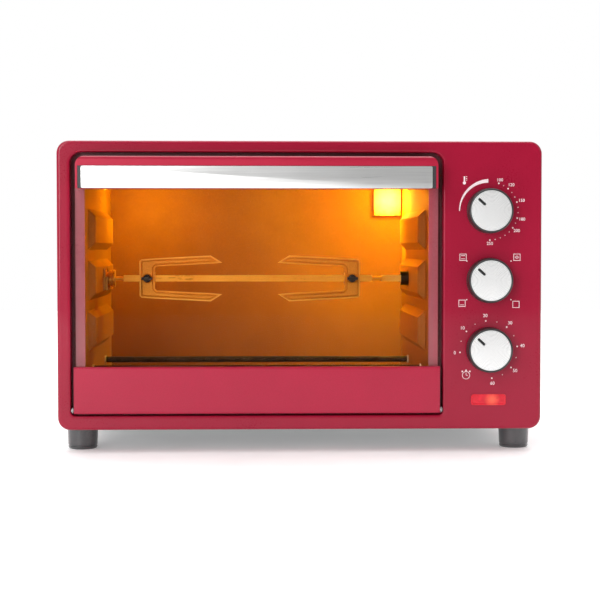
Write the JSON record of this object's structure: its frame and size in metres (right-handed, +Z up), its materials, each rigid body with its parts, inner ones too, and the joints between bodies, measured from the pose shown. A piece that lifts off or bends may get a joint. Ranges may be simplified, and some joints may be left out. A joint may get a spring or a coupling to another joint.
{
  "type": "rotisserie oven",
  "caption": "Counter-top oven with a drop-down glass door, dial controls, tubular heaters and a motor-driven rotisserie spit.",
  "frame": {"origin": "centre of the object's footprint, on the surface the feet stand on", "axes": "+Z up, +X to the right seen from the front, -Y out of the door"},
  "size_m": [0.46, 0.357, 0.296],
  "materials": {
    "front_paint": "gloss",
    "shell_paint": "gloss",
    "door_paint": "gloss",
    "rail_plastic": "gloss",
    "galvanised_sheet": "dull zinc-coated sheet",
    "cavity_sheet": "bright zinc-coated sheet",
    "tray_steel": "satin",
    "heater_steel": "heat-darkened satin steel",
    "ceramic_bush": "matt",
    "lamp_glass": "clear, warm",
    "bulb_glass": "frosted",
    "door_glass": "clear",
    "black_plastic": "fine texture",
    "knob_plastic": "satin",
    "silver_cap": "satin",
    "brushed_strip": "brushed along its length",
    "zinc_screw": "bright zinc",
    "spring_steel": "oiled",
    "control_plastic": "plain",
    "control_steel": "satin",
    "red_lens": "translucent",
    "chrome_spit": "bright",
    "brass_bush": "satin, warm reflections",
    "foot_rubber": "matt",
    "spit_black": "matt"
  },
  "bodies": {
    "oven": {"front_frame": "front_paint", "chassis_plate": "galvanised_sheet", "outer_shell": "shell_paint", "rear_cover": "shell_paint", "base_plate": "galvanised_sheet", "foot_front_left": "foot_rubber", "foot_front_right": "foot_rubber", "foot_rear_left": "foot_rubber", "foot_rear_right": "foot_rubber", "foot_screws": "zinc_screw", "cavity_left_wall": "cavity_sheet", "cavity_right_wall": "cavity_sheet", "cavity_back_wall": "cavity_sheet", "cavity_ceiling": "cavity_sheet", "cavity_floor": "cavity_sheet", "crumb_tray": "tray_steel", "heaters_upper": "heater_steel", "heaters_lower": "heater_steel", "heater_insulators": "ceramic_bush", "lamp_lens": "lamp_glass", "lamp_bulb": "bulb_glass", "lamp_housing": "galvanised_sheet", "spit_support": "brass_bush", "motor_bracket": "galvanised_sheet", "spit_motor": "control_steel", "thermostat": "control_plastic", "mode_switch": "control_plastic", "timer": "control_steel", "indicator_light": "red_lens", "terminal_block": "control_plastic", "cord_gland": "black_plastic", "cover_screws": "zinc_screw", "rear_spacers": "black_plastic", "hinge_brackets": "galvanised_sheet", "door_springs": "spring_steel"},
    "door": {"door_inner_frame": "door_paint", "door_glass": "door_glass", "door_lower_panel": "door_paint", "door_handle_rail": "rail_plastic", "handle_grip_plate": "black_plastic", "handle_steel_strip": "brushed_strip", "door_screws": "zinc_screw", "door_hinge_pins": "zinc_screw"},
    "door_link_pair": {"door_links": "galvanised_sheet"},
    "temperature_dial": {"temperature_knob": "knob_plastic", "temperature_knob_cap": "silver_cap", "temperature_shaft": "control_steel"},
    "mode_dial": {"mode_knob": "knob_plastic", "mode_knob_cap": "silver_cap", "mode_shaft": "control_steel"},
    "timer_dial": {"timer_knob": "knob_plastic", "timer_knob_cap": "silver_cap", "timer_shaft": "control_steel"},
    "spit": {"spit_rod": "chrome_spit", "spit_bush": "brass_bush", "drive_coupling": "spit_black"},
    "left_fork": {"fork_left": "chrome_spit"},
    "right_fork": {"fork_right": "chrome_spit"},
    "left_fork_screw": {"fork_screw_left": "spit_black"},
    "right_fork_screw": {"fork_screw_right": "spit_black"}
  },
  "joints": [
    {"name": "door_hinge", "type": "hinge", "parent": "oven", "child": "door", "pos_m": [0, -0.1555, 0.0409], "axis": [1, 0, 0], "range_deg": [0, 90], "stiffness_Nm_per_rad": 0.3, "springref_deg": -28.65},
    {"name": "door_link_pivot", "type": "hinge", "parent": "door", "child": "door_link_pair", "pos_m": [0, -0.144, 0.0629], "axis": [1, 0, 0], "range_deg": [-86.86, 1], "deforming": ["door_springs"]},
    {"name": "temperature_turn", "type": "hinge", "parent": "oven", "child": "temperature_dial", "pos_m": [0.1795, -0.1555, 0.2299], "axis": [0, 1, 0], "range_deg": [-42, 231]},
    {"name": "mode_turn", "type": "hinge", "parent": "oven", "child": "mode_dial", "pos_m": [0.1795, -0.1555, 0.1639], "axis": [0, 1, 0], "range_deg": [0, 270]},
    {"name": "timer_turn", "type": "hinge", "parent": "oven", "child": "timer_dial", "pos_m": [0.1795, -0.1555, 0.0979], "axis": [0, 1, 0], "range_deg": [-47, 221]},
    {"name": "spit_spin", "type": "hinge", "parent": "oven", "child": "spit", "pos_m": [0, -0.0055, 0.1629], "axis": [1, 0, 0], "continuous": true},
    {"name": "left_fork_slide", "type": "slide", "parent": "spit", "child": "left_fork", "axis": [1, 0, 0], "range_m": [-0.014, 0.02]},
    {"name": "right_fork_slide", "type": "slide", "parent": "spit", "child": "right_fork", "axis": [1, 0, 0], "range_m": [-0.02, 0.01]},
    {"name": "left_fork_screw_turn", "type": "hinge", "parent": "left_fork", "child": "left_fork_screw", "pos_m": [-0.15525, -0.01035, 0.1629], "axis": [0, 1, 0], "range_deg": [-360, 0]},
    {"name": "right_fork_screw_turn", "type": "hinge", "parent": "right_fork", "child": "right_fork_screw", "pos_m": [0.05875, -0.01035, 0.1629], "axis": [0, 1, 0], "range_deg": [-360, 0]}
  ],
  "couplings": [
    {"joint": "door_link_pivot", "follows": "door_hinge", "ratio": -0.954}
  ]
}
